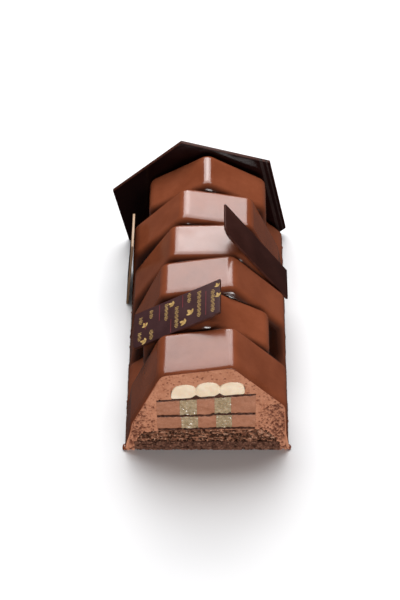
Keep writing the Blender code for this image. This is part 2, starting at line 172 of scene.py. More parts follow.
def mottle_group():
    """Two colours in soft patches, with a third in small specks."""
    colour, number = "NodeSocketColor", "NodeSocketFloat"
    tree, source, result = node_group(
        "mottle",
        [("Dark", colour, None), ("Light", colour, None), ("Speck", colour, None),
         ("Patch Scale", number, 80.0), ("Speck Scale", number, 900.0), ("Speck Amount", number, 0.3)],
        [("Colour", colour), ("Patches", number)])
    nodes = tree.nodes
    where = nodes.new("ShaderNodeTexCoord")
    patches = nodes.new("ShaderNodeTexNoise")
    patches.inputs["Detail"].default_value = 5.0
    patches.inputs["Roughness"].default_value = 0.6
    spread = nodes.new("ShaderNodeMapRange")
    spread.inputs["From Min"].default_value = 0.36
    spread.inputs["From Max"].default_value = 0.64
    base = nodes.new("ShaderNodeMix")
    base.data_type = "RGBA"
    specks = nodes.new("ShaderNodeTexNoise")
    specks.inputs["Detail"].default_value = 2.0
    pick = nodes.new("ShaderNodeMapRange")
    pick.inputs["From Min"].default_value = 0.55
    pick.inputs["From Max"].default_value = 0.68
    share = nodes.new("ShaderNodeMath")
    share.operation = "MULTIPLY"
    over = nodes.new("ShaderNodeMix")
    over.data_type = "RGBA"
    link(tree, where.outputs["Object"], patches.inputs["Vector"])
    link(tree, where.outputs["Object"], specks.inputs["Vector"])
    link(tree, source.outputs["Patch Scale"], patches.inputs["Scale"])
    link(tree, source.outputs["Speck Scale"], specks.inputs["Scale"])
    link(tree, patches.outputs["Fac"], spread.inputs["Value"])
    link(tree, spread.outputs["Result"], base.inputs["Factor"])
    link(tree, source.outputs["Dark"], base.inputs["A"])
    link(tree, source.outputs["Light"], base.inputs["B"])
    link(tree, specks.outputs["Fac"], pick.inputs["Value"])
    link(tree, pick.outputs["Result"], share.inputs[0])
    link(tree, source.outputs["Speck Amount"], share.inputs[1])
    link(tree, share.outputs["Value"], over.inputs["Factor"])
    link(tree, base.outputs["Result"], over.inputs["A"])
    link(tree, source.outputs["Speck"], over.inputs["B"])
    link(tree, over.outputs["Result"], result.inputs["Colour"])
    link(tree, spread.outputs["Result"], result.inputs["Patches"])
    return tree


def grain_group():
    """Height of a coarse and a fine grain laid over each other."""
    number = "NodeSocketFloat"
    tree, source, result = node_group(
        "grain", [("Coarse Scale", number, 200.0), ("Fine Scale", number, 1500.0),
                  ("Fine Share", number, 0.4)], [("Height", number)])
    nodes = tree.nodes
    where = nodes.new("ShaderNodeTexCoord")
    coarse = nodes.new("ShaderNodeTexNoise")
    coarse.inputs["Detail"].default_value = 3.0
    fine = nodes.new("ShaderNodeTexNoise")
    fine.inputs["Detail"].default_value = 3.0
    blend = nodes.new("ShaderNodeMix")
    link(tree, where.outputs["Object"], coarse.inputs["Vector"])
    link(tree, where.outputs["Object"], fine.inputs["Vector"])
    link(tree, source.outputs["Coarse Scale"], coarse.inputs["Scale"])
    link(tree, source.outputs["Fine Scale"], fine.inputs["Scale"])
    link(tree, source.outputs["Fine Share"], blend.inputs["Factor"])
    link(tree, coarse.outputs["Fac"], blend.inputs["A"])
    link(tree, fine.outputs["Fac"], blend.inputs["B"])
    link(tree, blend.outputs["Result"], result.inputs["Height"])
    return tree


MOTTLE = mottle_group()
GRAIN = grain_group()


def food(name, dark, light, speck, patch=80.0, speck_size=900.0, specks=0.3, rough=(0.5, 0.6),
         grain=(250.0, 1600.0, 0.4), relief=0.1, shade_by=None, painted_shade_colour=None, coat=0.0,
         scatter=0.0, specular=0.5):
    """Principled material with mottled colour, varied roughness and a fine relief."""
    material = bpy.data.materials.new(name)
    material.use_nodes = True
    tree = material.node_tree
    nodes = tree.nodes
    shader = nodes["Principled BSDF"]
    mottle = nodes.new("ShaderNodeGroup")
    mottle.node_tree = MOTTLE
    for label, value in (("Dark", dark), ("Light", light), ("Speck", speck)):
        mottle.inputs[label].default_value = (*value, 1.0)
    mottle.inputs["Patch Scale"].default_value = patch
    mottle.inputs["Speck Scale"].default_value = speck_size
    mottle.inputs["Speck Amount"].default_value = specks
    colour = mottle.outputs["Colour"]
    # painted shade: an attribute mask mixes a darker colour into the base colour (pore bottoms,
    # creases, surfaces below a neighbouring slab)
    if shade_by:
        pooled_glaze_and_painted_shade = nodes.new("ShaderNodeAttribute")
        pooled_glaze_and_painted_shade.attribute_name = shade_by
        over = nodes.new("ShaderNodeMix")
        over.data_type = "RGBA"
        over.inputs["B"].default_value = (*painted_shade_colour, 1.0)
        link(tree, pooled_glaze_and_painted_shade.outputs["Fac"], over.inputs["Factor"])
        link(tree, colour, over.inputs["A"])
        colour = over.outputs["Result"]
    link(tree, colour, shader.inputs["Base Color"])
    gloss = nodes.new("ShaderNodeMapRange")
    gloss.inputs["To Min"].default_value = rough[0]
    gloss.inputs["To Max"].default_value = rough[1]
    link(tree, mottle.outputs["Patches"], gloss.inputs["Value"])
    link(tree, gloss.outputs["Result"], shader.inputs["Roughness"])
    height = nodes.new("ShaderNodeGroup")
    height.node_tree = GRAIN
    for label, value in zip(("Coarse Scale", "Fine Scale", "Fine Share"), grain):
        height.inputs[label].default_value = value
    bump = nodes.new("ShaderNodeBump")
    bump.inputs["Strength"].default_value = 1.0
    bump.inputs["Distance"].default_value = relief * MM
    link(tree, height.outputs["Height"], bump.inputs["Height"])
    link(tree, bump.outputs["Normal"], shader.inputs["Normal"])
    shader.inputs["Specular IOR Level"].default_value = specular
    shader.inputs["Coat Weight"].default_value = coat
    shader.inputs["Coat Roughness"].default_value = 0.06
    shader.inputs["Subsurface Weight"].default_value = scatter
    shader.inputs["Subsurface Radius"].default_value = (1.0, 0.6, 0.4)
    shader.inputs["Subsurface Scale"].default_value = 1.5 * MM
    return material


FINISHES = {
    # the glaze darkens by its mask: pooled glaze in creases, and painted shade near creases and below
    # neighbouring slabs
    "glaze": food("caramel_glaze", (0.180, 0.045, 0.018), (0.240, 0.064, 0.027), (0.28, 0.08, 0.034),
                  patch=45.0, specks=0.12, rough=(0.16, 0.23), grain=(150.0, 700.0, 0.15),
                  relief=0.06, shade_by="pooled_glaze_and_painted_shade", painted_shade_colour=(0.024, 0.005, 0.0018)),
    "mousse": food("caramel_mousse", (0.47, 0.185, 0.098), (0.57, 0.245, 0.140), (0.66, 0.32, 0.20),
                   patch=160.0, speck_size=1000.0, specks=0.5, rough=(0.6, 0.75),
                   grain=(700.0, 2600.0, 0.5), relief=0.4, shade_by="pore_painted_shade",
                   painted_shade_colour=(0.11, 0.025, 0.010), specular=0.3),
    "cream": food("vanilla_cream", (0.86, 0.66, 0.46), (0.95, 0.79, 0.60), (0.80, 0.56, 0.34),
                  patch=160.0, specks=0.15, rough=(0.42, 0.55), grain=(300.0, 1800.0, 0.4),
                  relief=0.12, shade_by="pore_painted_shade", painted_shade_colour=(0.50, 0.30, 0.16), scatter=0.15),
    "chocolate_sheet": food("thin_chocolate", (0.040, 0.010, 0.005), (0.085, 0.028, 0.014),
                            (0.22, 0.09, 0.05), patch=500.0, specks=0.5, rough=(0.4, 0.55),
                            relief=0.1, shade_by="pore_painted_shade", painted_shade_colour=(0.015, 0.004, 0.002)),
    "ganache": food("milk_ganache", (0.37, 0.150, 0.082), (0.46, 0.196, 0.114), (0.56, 0.28, 0.18),
                    patch=180.0, speck_size=1300.0, specks=0.35, rough=(0.5, 0.62),
                    grain=(500.0, 2200.0, 0.5), relief=0.2, shade_by="pore_painted_shade",
                    painted_shade_colour=(0.20, 0.065, 0.030), specular=0.3),
    "pear_gel": food("pear_gel", (0.37, 0.265, 0.155), (0.50, 0.375, 0.235), (0.66, 0.56, 0.41),
                     patch=220.0, speck_size=500.0, specks=0.35, rough=(0.18, 0.32),
                     grain=(260.0, 900.0, 0.3), relief=0.25, shade_by="pore_painted_shade",
                     painted_shade_colour=(0.20, 0.13, 0.065), scatter=0.2),
    "sponge": food("dark_sponge", (0.12, 0.038, 0.018), (0.38, 0.165, 0.095), (0.68, 0.40, 0.27),
                   patch=450.0, speck_size=800.0, specks=0.7, rough=(0.8, 0.95),
                   grain=(600.0, 2400.0, 0.5), relief=0.5, shade_by="pore_painted_shade",
                   painted_shade_colour=(0.006, 0.0015, 0.0006), specular=0.2),
    "base": food("crumb_base", (0.080, 0.028, 0.016), (0.17, 0.072, 0.044), (0.36, 0.19, 0.125),
                 patch=500.0, speck_size=1000.0, specks=0.6, rough=(0.75, 0.9),
                 grain=(800.0, 2600.0, 0.5), relief=0.3, shade_by="pore_painted_shade",
                 painted_shade_colour=(0.020, 0.006, 0.003), specular=0.2),
    "dark_chocolate": food("dark_chocolate", (0.009, 0.0025, 0.0022), (0.013, 0.0036, 0.003),
                           (0.02, 0.006, 0.005), patch=60.0, specks=0.1, rough=(0.10, 0.16),
                           grain=(90.0, 600.0, 0.1), relief=0.06, specular=0.12),
    "satin_chocolate": food("satin_chocolate", (0.030, 0.0095, 0.0072), (0.040, 0.0130, 0.0100),
                            (0.055, 0.018, 0.013), patch=90.0, specks=0.15, rough=(0.42, 0.55),
                            grain=(200.0, 1400.0, 0.3), relief=0.05, specular=0.05),
    # painted reflection: paler chocolate for bands on the back plate
    "painted_reflection": food("chocolate_painted_reflection", (0.022, 0.012, 0.011), (0.032, 0.018, 0.016),
                  (0.04, 0.022, 0.02), patch=200.0, specks=0.2, rough=(0.2, 0.3), relief=0.05,
                  specular=0.2),
    # painted highlight on the plates' edges
    "painted_edge_highlight": food("chocolate_painted_edge_highlight", (0.040, 0.011, 0.007), (0.065, 0.019, 0.012),
                     (0.10, 0.032, 0.02), patch=300.0, specks=0.3, rough=(0.35, 0.5), relief=0.05,
                     specular=0.15),
    "pale_edge": food("pale_edge", (0.36, 0.22, 0.12), (0.46, 0.30, 0.18), (0.25, 0.13, 0.07),
                      patch=260.0, specks=0.3, rough=(0.35, 0.5), relief=0.05),
    "printed_chocolate": food("printed_chocolate", (0.043, 0.016, 0.017), (0.055, 0.021, 0.022),
                              (0.10, 0.04, 0.04), patch=120.0, specks=0.2, rough=(0.42, 0.52),
                              grain=(200.0, 1500.0, 0.3), relief=0.05, specular=0.2),
    "gold": food("gold_print", (0.42, 0.25, 0.075), (0.66, 0.44, 0.16), (0.30, 0.16, 0.05),
                 patch=500.0, speck_size=2500.0, specks=0.4, rough=(0.35, 0.5), relief=0.03),
    "red": food("dark_red_print", (0.17, 0.015, 0.022), (0.24, 0.028, 0.035), (0.1, 0.01, 0.01),
                patch=500.0, speck_size=2500.0, specks=0.5, rough=(0.4, 0.5), relief=0.03),
}


# -------------------------------------------------------------- mesh pieces

def new_piece(name, bm, finish, nodes, smooth=True, with_pore_shade=False):
    mesh = bpy.data.meshes.new(name)
    if with_pore_shade:
        # painted shade: a pore's bottom gets darker with its depth behind the cut
        layer = bm.verts.layers.float.new("pore_painted_shade")
        for vert in bm.verts:
            depth = (vert.co.y - ORIGIN.y) / MM
            vert[layer] = min(1.0, max(0.0, (depth - 0.3) / PORE_SHADE_DEPTH)) if depth < 3.5 else 0.0
    bm.to_mesh(mesh)
    bm.free()
    mesh.materials.append(FINISHES[finish])
    if smooth:
        mesh.shade_smooth()
    piece = bpy.data.objects.new(name, mesh)
    bpy.context.collection.objects.link(piece)
    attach(piece, "root")
    if nodes:
        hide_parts(*nodes)
    return piece


def unit_grid(columns, rows):
    bm = bmesh.new()
    bmesh.ops.create_grid(bm, x_segments=columns, y_segments=rows, size=0.5)
    return bm


def polar(radius, degrees, shift):
    angle = math.radians(degrees)
    return (shift + radius * math.cos(angle), CENTRE_HEIGHT + radius * math.sin(angle))


def slab_corners(index):
    """Corners of a slab, from its right foot over the top to its left foot."""
    turn, shift = SLAB_TURNS[index], SLAB_SHIFTS[index]
    foot = (FOOT_HALF_WIDTH, 0.0)
    if turn is None:
        side_height = CENTRE_HEIGHT + PEAK_RADIUS / 2
        right = [foot, (FOOT_HALF_WIDTH - 0.2, LEDGE_HEIGHT), LEDGE_SHOULDER,
                 (PEAK_HALF_WIDTH + 0.7, LEDGE_TOP_HEIGHT), (shift + PEAK_HALF_WIDTH, side_height)]
        left = [(2 * shift - x, z) if z > LEDGE_TOP_HEIGHT else (-x, z) for x, z in right]
        return right + [polar(PEAK_RADIUS, 90.0, shift)] + left[::-1]
    return [foot, polar(SIDE_RADIUS, turn, shift),
            polar(TOP_RADIUS, 90.0 - TOP_HALF_ANGLE + turn, shift),
            polar(TOP_RADIUS, 90.0 + TOP_HALF_ANGLE + turn, shift),
            polar(SIDE_RADIUS, 180.0 + turn, shift), (-FOOT_HALF_WIDTH, 0.0)]


def slab_ends(index):
    start = FIRST_SLAB_LENGTH + (index - 1) * SLAB_PITCH if index else 0.0
    return start, FIRST_SLAB_LENGTH + index * SLAB_PITCH


def inset(points, distance):
    """Move an open chain of corners inwards, its ends along their own edges."""
    points = [Vector(p) for p in points]
    lines = []
    for a, b in zip(points, points[1:]):
        along = (b - a).normalized()
        lines.append((a + Vector((-along.y, along.x)) * distance, along))
    moved = [points[0] + (lines[0][0] - points[0])]
    for (p, d), (q, e) in zip(lines, lines[1:]):
        turn = d.cross(e)
        moved.append(p + d * ((q - p).cross(e) / turn))
    moved.append(lines[-1][0] + lines[-1][1] * (points[-1] - points[-2]).length)
    return moved


def rounded(points):
    """Round the inner corners of an open chain."""
    points = [Vector(p) for p in points]
    result = [points[0]]
    for before, corner, after in zip(points, points[1:], points[2:]):
        a, b = before - corner, after - corner
        half = a.angle(b) / 2
        reach = min(CORNER_RADIUS / math.tan(half), 0.45 * a.length, 0.45 * b.length)
        start, end = corner + a.normalized() * reach, corner + b.normalized() * reach
        for step in range(CORNER_STEPS + 1):
            t = step / CORNER_STEPS
            result.append(start * (1 - t) ** 2 + corner * 2 * t * (1 - t) + end * t ** 2)
    result.append(points[-1])
    return result


def outline_radius(points, angles):
    """Distance from the centre line to a chain along each angle."""
    chain = np.array([(p[0], p[1] - CENTRE_HEIGHT) for p in points])
    bearing = np.unwrap(np.arctan2(chain[:, 1], chain[:, 0]))
    place_in = np.clip(np.searchsorted(bearing, angles) - 1, 0, len(chain) - 2)
    start, edge = chain[place_in], chain[place_in + 1] - chain[place_in]
    ray = np.stack((np.cos(angles), np.sin(angles)), axis=1)
    across = ray[:, 0] * edge[:, 1] - ray[:, 1] * edge[:, 0]
    return (start[:, 0] * edge[:, 1] - start[:, 1] * edge[:, 0]) / across


def smooth_max(a, b, reach):
    near = np.maximum(reach - np.abs(a - b), 0.0) / reach
    return np.maximum(a, b) + near * near * reach / 4


def ring_stations():
    """Places of the glaze's rings along the log, dense at the creases."""
    steps = (0.0, 0.18, 0.36, 0.56, 0.78, 1.02, 1.3, 1.62, 2.0, 2.45, 3.0, 3.7, 4.8, 6.6, 9.2, 12.0)
    stations = {0.0, 0.12, 0.3, 0.6, 1.0, 1.5, 2.1, 2.7}
    for index in range(len(SLAB_TURNS)):
        start, end = slab_ends(index)
        if index:
            stations.update(round(start + s, 3) for s in steps)
        stations.update(round(min(end, LOG_LENGTH) - s, 3) for s in steps[:-1])
    stations.update((3.5, 7.0, LOG_LENGTH))
    return sorted(s for s in stations if s <= LOG_LENGTH)


def rim_depth(inside, rim):
    """How far the surface drops at this distance inside the end of a slab."""
    if inside >= rim:
        return 0.0
    if inside >= 0.0:
        return rim - math.sqrt(rim ** 2 - (rim - inside) ** 2)
    return rim - WALL_SLOPE * inside


def glaze_surface(angles, stations):
    """Radius of the glazed log at each station and angle, and how dark its colour is made: pooled glaze
    in the creases and painted shade below neighbouring slabs.
    """
    first, last = [], []
    for index in range(len(SLAB_TURNS)):
        corners = slab_corners(index)
        outer = outline_radius(rounded(corners), angles)
        height = CENTRE_HEIGHT + outer * np.sin(angles)
        share = np.clip((height - LEDGE_HEIGHT) / (LEDGE_TOP_HEIGHT - LEDGE_HEIGHT), 0.0, 1.0)
        inner = outline_radius(rounded(inset(corners, BACK_RIM)), angles)
        first.append(outer)
        last.append((outer - inner) / BACK_RIM * share)
    radius, pooled_glaze_and_painted_shade = [], []
    for y in stations:
        whole, plain, around = None, None, None
        for index, (outer, slope) in enumerate(zip(first, last)):
            start, end = slab_ends(index)
            away = outer - SHADE_REACH * max(start - y, y - end, 0.0)
            around = away if around is None else np.maximum(around, away)
            depth = rim_depth(end + SLAB_OVERLAP - y, BACK_RIM)
            if index:
                depth = max(depth, rim_depth(y - start + SLAB_OVERLAP, FRONT_RIM))
            elif y < CUT_REACH:
                depth = CUT_DROP * (1.0 - math.sqrt(1.0 - (1.0 - y / CUT_REACH) ** 2))
            if depth > 16.0:
                continue
            here = outer - slope * min(depth, FRONT_RIM) - max(depth - FRONT_RIM, 0.0)
            whole = here if whole is None else smooth_max(whole, here, CREASE_FILL)
            plain = here if plain is None else np.maximum(plain, here)
        radius.append(whole)
        nearest = min(abs(y - slab_ends(i)[1]) for i in range(len(SLAB_TURNS) - 1))
        # darker near each crease: pooled glaze and painted shade
        crease_pool_and_shade = 0.3 * math.exp(-(nearest / 1.3) ** 2)
        # painted shade where the surface lies below a neighbouring slab
        below = np.clip((around - whole) / SHADE_DEPTH, 0.0, 1.0)
        pooled_glaze_and_painted_shade.append(np.clip((whole - plain) / CREASE_FILL * 1.6 + crease_pool_and_shade + below, 0.0, 1.0))
    return np.array(radius), np.array(pooled_glaze_and_painted_shade)


def make_glaze():
    columns, back_rows = 224, 9
    angles = np.linspace(math.atan2(-CENTRE_HEIGHT, FOOT_HALF_WIDTH),
                         math.pi - math.atan2(-CENTRE_HEIGHT, FOOT_HALF_WIDTH), columns + 1)
    stations = ring_stations()
    radius, pooled_glaze_and_painted_shade = glaze_surface(angles, stations)
    rows = len(stations) - 1 + back_rows
    bm = unit_grid(columns, rows)
    # mask of pooled glaze and painted shade, read by the glaze's colour
    layer = bm.verts.layers.float.new("pooled_glaze_and_painted_shade")
    for vert in bm.verts:
        column = round((vert.co.x + 0.5) * columns)
        row = round((vert.co.y + 0.5) * rows)
        ring = min(row, len(stations) - 1)
        reach = radius[ring][column]
        angle, y = angles[column], stations[ring]
        x = reach * math.cos(angle)
        z = max(CENTRE_HEIGHT + reach * math.sin(angle), GLAZE_LIFT)
        wave = noise.noise(Vector((x, y, z)) * 0.07) + 0.5 * noise.noise(Vector((x, y, z)) * 0.19)
        sink = UNEVENNESS * (0.6 + wave) * min(1.0, z / 6.0)
        if z < LEDGE_TOP_HEIGHT:
            low = min(1.0, (LEDGE_TOP_HEIGHT - z) / 3.0)
            sink += LEDGE_STREAKS * low * (0.5 + noise.noise(Vector((x * 0.1, y * 0.7, z * 0.12))))
        x -= math.cos(angle) * sink
        z = max(z - math.sin(angle) * sink, GLAZE_LIFT)
        if row > ring:
            t = (row - ring) / back_rows
            x, z = x * (1 - t), z + (GLAZE_LIFT - z) * t
        vert[layer] = float(pooled_glaze_and_painted_shade[ring][column])
        vert.co = place(x, y, z)
    bmesh.ops.remove_doubles(bm, verts=bm.verts[:], dist=0.00001)
    bmesh.ops.recalc_face_normals(bm, faces=bm.faces[:])
    top = max(bm.faces, key=lambda face: face.calc_center_median().z)
    if top.normal.z < 0:
        bmesh.ops.reverse_faces(bm, faces=bm.faces[:])
    piece = new_piece("glaze_coat", bm, "glaze", ["glaze"])
    shell = piece.modifiers.new("thickness", "SOLIDIFY")
    shell.thickness = GLAZE_THICKNESS * MM
    shell.offset = -1.0
    shell.material_offset_rim = 1
    piece.data.materials.append(FINISHES["mousse"])
    return piece


# ------------------------------------------------------------ the cut face

def pores(seed, count, spans, sizes, gather=None):
    """Random round pores: x, z and radius."""
    rng = random.Random(seed)
    result = []
    while len(result) < count:
        x = rng.uniform(*spans[0])
        z = rng.uniform(*spans[1])
        weight = gather(x, z) if gather else 1.0
        if rng.random() > weight:
            continue
        size = sizes[0] + (sizes[1] - sizes[0]) * rng.random() ** 3 * (0.5 + 0.5 * weight)
        result.append((x, z, size))
    return result


def pore_depth(holes, xs, zs, flatness=0.75):
    """Depth of the pores on a grid of places."""
    depth = np.zeros((len(zs), len(xs)))
    for x, z, size in holes:
        columns = np.nonzero(np.abs(xs - x) < size)[0]
        rows = np.nonzero(np.abs(zs - z) < size)[0]
        if not len(columns) or not len(rows):
            continue
        dx = (xs[columns] - x)[None, :] / size
        dz = (zs[rows] - z)[:, None] / size
        cap = np.sqrt(np.clip(1.0 - dx * dx - dz * dz, 0.0, 1.0)) * size * flatness
        block = depth[rows[0]:rows[-1] + 1, columns[0]:columns[-1] + 1]
        np.maximum(block, cap, out=block)
    return depth


def mousse_gather(x, z):
    """Pores gather low down on both sides of the fillings."""
    side = max(0.0, (abs(x) - 22.0) / 12.0)
    low = 1.0 if z < 34.0 else 0.3
    return min(1.0, 0.16 + side * low)


def make_mousse():
    """The moulded mousse, with the pores of its cut face pressed into it."""
    step = 0.25
    width, height = 80.0, 63.0
    columns, rows = int(width / step), int(height / step)
    xs = np.linspace(-width / 2, width / 2, columns + 1)
    zs = np.linspace(-0.5, height, rows + 1)
    holes = pores(3, 4600, ((-39, 39), (0, 60)), (0.2, 0.8), mousse_gather)
    depth = pore_depth(holes, xs, zs, 1.7)
    cutter = unit_grid(columns, rows)
    for vert in cutter.verts:
        column = round((vert.co.x + 0.5) * columns)
        row = round((vert.co.y + 0.5) * rows)
        x, z = xs[column], zs[row]
        wave = 0.12 * (1.0 + noise.noise(Vector((x, z, 4.0)) * 0.25))
        vert.co = place(x, 0.02 + wave + depth[row][column], z)
    sides = bmesh.ops.extrude_face_region(cutter, geom=cutter.faces[:])
    moved = [item for item in sides["geom"] if isinstance(item, bmesh.types.BMVert)]
    for vert in moved:
        vert.co.y = place(0, -3.0, 0).y
    bmesh.ops.recalc_face_normals(cutter, faces=cutter.faces[:])
    tool_mesh = bpy.data.meshes.new("cut_tool")
    cutter.to_mesh(tool_mesh)
    cutter.free()
    tool = bpy.data.objects.new("cut_tool", tool_mesh)
    bpy.context.collection.objects.link(tool)
    bm = bmesh.new()
    bm.from_mesh(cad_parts["mousse"].data)
    bmesh.ops.remove_doubles(bm, verts=bm.verts[:], dist=0.00001)
    body_mesh = bpy.data.meshes.new("mousse_body")
    bm.to_mesh(body_mesh)
    bm.free()
    body = bpy.data.objects.new("mousse_body", body_mesh)
    bpy.context.collection.objects.link(body)
    cut = body.modifiers.new("cut", "BOOLEAN")
    cut.operation = "DIFFERENCE"
    cut.solver = "EXACT"
    cut.object = tool
    graph = bpy.context.evaluated_depsgraph_get()
    mesh = bpy.data.meshes.new_from_object(body.evaluated_get(graph))
    bm = bmesh.new()
    bm.from_mesh(mesh)
    for used in (body, tool):
        bpy.data.objects.remove(used, do_unlink=True)
    bmesh.ops.triangulate(bm, faces=[f for f in bm.faces if len(f.verts) > 4])
    piece = new_piece("mousse_body", bm, "mousse", ["mousse"], with_pore_shade=True)
    piece.data.set_sharp_from_angle(angle=math.radians(40))
    return piece


def sheet_middle(sheet, x):
    height = SHEET_HEIGHTS[sheet] + SHEET_SLOPES[sheet] * x
    if sheet == 1:
        height += SHEET_STEP[1] * min(1.0, max(0.0, (x - SHEET_STEP[0] + 0.6) / 1.2))
    return height


def ridge(x):
    valleys = [(a + b) / 2 for a, b in zip(ROPE_CENTRES, ROPE_CENTRES[1:])]
    nearest = min(abs(x - valley) for valley in valleys)
    return RIDGE_HEIGHT * max(0.0, 1.0 - nearest / RIDGE_HALF_WIDTH) ** 1.4


def filling(name, finish, node, span, low, high, step, relief, waviness=0.0, wave_seed=0.0):
    """A filling that runs through the log.  Its face at the cut is a grid
    between the curves low(x) and high(x), pushed in by relief(x, z)."""
    left, right = span
    middle = (left + right) / 2
    tallest = max(high(left + (right - left) * i / 20) - low(left + (right - left) * i / 20)
                  for i in range(21))
    columns = max(2, int((right - left) / step))
    rows = max(2, int(tallest / step))
    bm = unit_grid(columns, rows)
    for vert in bm.verts:
        x = left + (right - left) * (vert.co.x + 0.5)
        t = vert.co.y + 0.5
        bottom, top = low(x), high(x)
        if waviness:
            bottom += waviness * noise.noise(Vector((x * 0.45, wave_seed, 1.0)))
            top += waviness * noise.noise(Vector((x * 0.45, wave_seed, 7.0)))
        z = bottom + (top - bottom) * t
        if abs(t - 0.5) < 0.499 and waviness:
            x += waviness * (x - middle) / (right - left) * 2 * noise.noise(Vector((z, wave_seed, 3.0)))
        vert.co = place(x, 0.03 + max(0.0, relief(x, z, t)), z)
    sides = bmesh.ops.extrude_face_region(bm, geom=bm.faces[:])
    for item in sides["geom"]:
        if isinstance(item, bmesh.types.BMVert):
            item.co.y = place(0, FILLING_LENGTH, 0).y
    bmesh.ops.recalc_face_normals(bm, faces=bm.faces[:])
    piece = new_piece(name, bm, finish, [node], with_pore_shade=True)
    piece.data.set_sharp_from_angle(angle=math.radians(50))
    return piece


def soft_relief(scale, depth, seed, edge=0.0):
    def relief(x, z, t):
        wave = depth * (0.5 + noise.noise(Vector((x, z, seed)) * scale))
        brim = edge * max(0.0, abs(2 * t - 1) - 0.8) / 0.2
        return wave + brim
    return relief


def crumb_relief(cell, depth, seed, openness):
    """Open crumb: holes with thin walls between them.  The cell is its width
    and height, and the openness is the share of cells that are holes."""
    def relief(x, z, t):
        bend = 0.5 * noise.noise(Vector((x, z, seed)) * 0.5)
        spot = Vector((x / cell[0] + bend, z / cell[1] - bend, seed))
        near = noise.voronoi(spot)[0]
        hole = min(1.0, max(0.0, (near[1] - near[0] - 0.10) / 0.16))
        open_here = min(1.0, max(0.0, (noise.noise(spot * 0.8) + openness) * 2.5))
        return 0.22 * (1.0 + noise.noise(spot * 2.9)) + depth * hole * open_here
    return relief


def interpolate(points):
    xs, zs = [p[0] for p in points], [p[1] for p in points]
    return lambda x: float(np.interp(x, xs, zs))


def make_cream():
    """Three ropes of cream side by side, with a crease where they touch."""
    valleys = [(a + b) / 2 for a, b in zip(ROPE_CENTRES, ROPE_CENTRES[1:])]
    left = ROPE_CENTRES[0] - ROPE_HALF_WIDTH
    right = ROPE_CENTRES[-1] + ROPE_HALF_WIDTH

    def top(x):
        best = 0.0
        for centre, rise in zip(ROPE_CENTRES, ROPE_TOP_RISE):
            offset = min(1.0, abs(x - centre) / ROPE_HALF_WIDTH)
            arch = (1.0 - offset ** 2.5) ** 0.42
            best = max(best, ROPE_SIDE_RISE + (rise - ROPE_SIDE_RISE) * arch)
        return sheet_middle(0, x) + best + JOIN

    def bottom(x):
        inward = max(0.0, max(left + 1.0 - x, x - right + 1.0))
        return sheet_middle(0, x) + SHEET_THICKNESS / 2 + GAP - JOIN + ridge(x) + 1.2 * inward ** 2.2

    def relief(x, z, t):
        wave = 0.22 * (0.5 + noise.noise(Vector((x, z, 2.0)) * 0.35))
        groove = sum(0.5 * math.exp(-((x - v) / 0.55) ** 2) * t for v in valleys)
        brim = 0.3 * max(0.0, abs(2 * t - 1) - 0.85) / 0.15
        return wave + groove + brim
    filling("cream_piping", "cream", "cream_ropes", (left, right), bottom, top, 0.3, relief)


def make_sheets():
    for sheet, where in enumerate(("top", "centre", "bottom")):
        rise = ridge if sheet == 0 else (lambda x: 0.0)
        filling(f"thin_sheet_{where}", "chocolate_sheet", f"chocolate_sheet_{where}",
                (-SHEET_HALF_LENGTH, SHEET_HALF_LENGTH),
                lambda x, s=sheet: sheet_middle(s, x) - SHEET_THICKNESS / 2 - JOIN,
                lambda x, s=sheet, r=rise: sheet_middle(s, x) + SHEET_THICKNESS / 2 + JOIN + r(x),
                0.25, soft_relief(0.8, 0.25, 5.0 + sheet), 0.22, 11.0 * sheet)


def make_strips():
    layers = (("upper", STRIP_EDGES_UPPER, 0, 1), ("lower", STRIP_EDGES_LOWER, 1, 2))
    half = SHEET_THICKNESS / 2 + GAP - JOIN
    for layer, edges, above, below in layers:
        edges = (-SHEET_HALF_LENGTH - STACK_GAP,) + edges[1:-1] + (SHEET_HALF_LENGTH + STACK_GAP,)
        for number, (left, right) in enumerate(zip(edges, edges[1:])):
            look = "pear_gel" if number % 2 else "ganache"
            seed = number * 3.7 + above * 20.0
            relief = soft_relief(0.5, 0.35, seed, 0.25)
            if look == "pear_gel":
                relief = soft_relief(0.75, 0.6, seed, 0.1)
            filling(f"{look}_strip_{layer}_{number // 2 + 1}", look,
                    f"{look}_{layer}_{number // 2 + 1}",
                    (left + GAP / 2 - JOIN, right - GAP / 2 + JOIN),
                    lambda x, s=below: sheet_middle(s, x) + half,
                    lambda x, s=above: sheet_middle(s, x) - half,
                    0.3, relief)


def make_sponge_and_base():
    top = interpolate(SPONGE_TOP)
    filling("sponge_layer", "sponge", "sponge", (SPONGE_TOP[0][0], SPONGE_TOP[-1][0]),
            lambda x: SPONGE_FLOOR - JOIN, lambda x: top(x) + JOIN, 0.26,
            crumb_relief((2.0, 1.1), 2.4, 8.0, 0.22), 0.7, 31.0)
    filling("crumb_base", "base", "base_layer", BASE_SIDES,
            lambda x: 0.0, lambda x: BASE_TOP + JOIN, 0.28,
            crumb_relief((1.5, 0.8), 0.9, 9.0, 0.12))


# ------------------------------------------------------------- decorations

def plate_copy(name, node, finish, edge, bevel):
    """A thin chocolate plate: the node's outline with softened, paler edges."""
    bm = bmesh.new()
    bm.from_mesh(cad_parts[node].data)
    bmesh.ops.remove_doubles(bm, verts=bm.verts[:], dist=0.00001)
    bmesh.ops.dissolve_limit(bm, angle_limit=math.radians(1), verts=bm.verts[:], edges=bm.edges[:])
    flat = max(bm.faces, key=lambda face: face.calc_area()).normal.copy()
    bmesh.ops.bevel(bm, geom=bm.edges[:], offset=bevel * MM, segments=2, profile=0.5,
                    affect="EDGES", material=-1, clamp_overlap=True)
    for face in bm.faces:
        face.material_index = 0 if abs(face.normal.dot(flat)) > 0.99 else 1
    piece = new_piece(name, bm, finish, [node])
    piece.data.materials.append(FINISHES[edge])
    piece.data.set_sharp_from_angle(angle=math.radians(35))
    return piece


